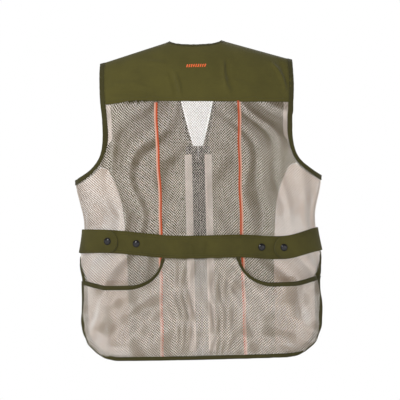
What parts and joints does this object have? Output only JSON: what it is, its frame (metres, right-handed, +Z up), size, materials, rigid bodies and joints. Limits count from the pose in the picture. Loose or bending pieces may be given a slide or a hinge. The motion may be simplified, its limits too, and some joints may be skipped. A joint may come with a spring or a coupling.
{
  "type": "fishing vest",
  "caption": "Sleeveless mesh-backed vest with a cloth yoke, bound edges, a snap-tab waist belt, a netting rear pouch and a zip front with pockets.",
  "frame": {"origin": "midway between the two neck points of the shoulder seams, on the plane between back and front", "axes": "+Z up, the back faces -Y, the zip faces +Y, +X to the right when the back is seen"},
  "size_m": [0.5588, 0.2059, 0.7206],
  "materials": {
    "olive_cloth": "matt woven cotton twill",
    "beige_netting": "knitted netting",
    "olive_binding": "folded woven tape",
    "orange_piping": "satin corded piping",
    "orange_thread": "satin stitch",
    "beige_tape": "woven tape",
    "zipper_tape": "woven zip tape",
    "zipper_plastic": "moulded",
    "dark_metal": "black lacquer",
    "snap_black": "gloss lacquer"
  },
  "bodies": {
    "vest": {"armhole_binding_left": "olive_binding", "armhole_binding_right": "olive_binding", "back_belt": "olive_cloth", "back_center_panel": "beige_netting", "back_hem_binding": "olive_binding", "back_piping_left": "orange_piping", "back_piping_right": "orange_piping", "back_side_panel_left": "beige_netting", "back_side_panel_right": "beige_netting", "back_yoke": "olive_cloth", "belt_button_left": "snap_black", "belt_button_right": "snap_black", "chest_pocket_left": "olive_cloth", "chest_pocket_right": "olive_cloth", "front_facing_left": "beige_tape", "front_facing_right": "beige_tape", "front_hem_binding_left": "olive_binding", "front_hem_binding_right": "olive_binding", "front_panel_left": "olive_cloth", "front_panel_right": "olive_cloth", "front_side_panel_left": "beige_netting", "front_side_panel_right": "beige_netting", "game_pouch": "beige_netting", "lower_pocket_left": "olive_cloth", "lower_pocket_right": "olive_cloth", "neck_binding": "olive_binding", "neck_end_patch_left": "olive_binding", "neck_end_patch_right": "olive_binding", "pouch_edge_binding": "olive_binding", "pouch_opening_binding_left": "olive_binding", "pouch_opening_binding_right": "olive_binding", "side_seam_left": "olive_binding", "side_seam_right": "olive_binding", "stitched_mark": "orange_thread", "tab_snap_stud_left": "snap_black", "tab_snap_stud_right": "snap_black", "zipper_stops": "zipper_plastic", "zipper_tape_left": "zipper_tape", "zipper_tape_right": "zipper_tape", "zipper_teeth_left": "zipper_plastic", "zipper_teeth_right": "zipper_plastic"},
    "belt_tab_left": {"belt_tab_left": "olive_cloth", "tab_snap_cap_left": "snap_black"},
    "belt_tab_right": {"belt_tab_right": "olive_cloth", "tab_snap_cap_right": "snap_black"},
    "pocket_flap_left": {"pocket_flap_left": "olive_cloth", "flap_snap_cap_left": "snap_black"},
    "pocket_flap_right": {"pocket_flap_right": "olive_cloth", "flap_snap_cap_right": "snap_black"},
    "zip_slider": {"zipper_slider": "dark_metal"},
    "zip_pull": {"zipper_pull": "dark_metal"}
  },
  "joints": [
    {"name": "zip_travel", "type": "slide", "parent": "vest", "child": "zip_slider", "axis": [0, 0, -1], "range_m": [0, 0.41]},
    {"name": "pull_swing", "type": "hinge", "parent": "zip_slider", "child": "zip_pull", "pos_m": [0, 0.0816, -0.2704], "axis": [1, 0, 0], "range_deg": [0, 150]},
    {"name": "left_tab_hinge", "type": "hinge", "parent": "vest", "child": "belt_tab_left", "pos_m": [-0.26799, -0.00956, -0.44548], "axis": [-0.1552, -0.0005, -0.9879], "range_deg": [0, 95]},
    {"name": "right_tab_hinge", "type": "hinge", "parent": "vest", "child": "belt_tab_right", "pos_m": [0.26886, -0.00957, -0.45183], "axis": [-0.1665, 0.0006, 0.986], "range_deg": [0, 95]},
    {"name": "left_flap_hinge", "type": "hinge", "parent": "vest", "child": "pocket_flap_left", "pos_m": [-0.1446, 0.06733, -0.538], "axis": [0.9846, 0.175, 0], "range_deg": [0, 110]},
    {"name": "right_flap_hinge", "type": "hinge", "parent": "vest", "child": "pocket_flap_right", "pos_m": [0.1446, 0.06733, -0.538], "axis": [0.9846, -0.175, 0], "range_deg": [0, 110]}
  ]
}
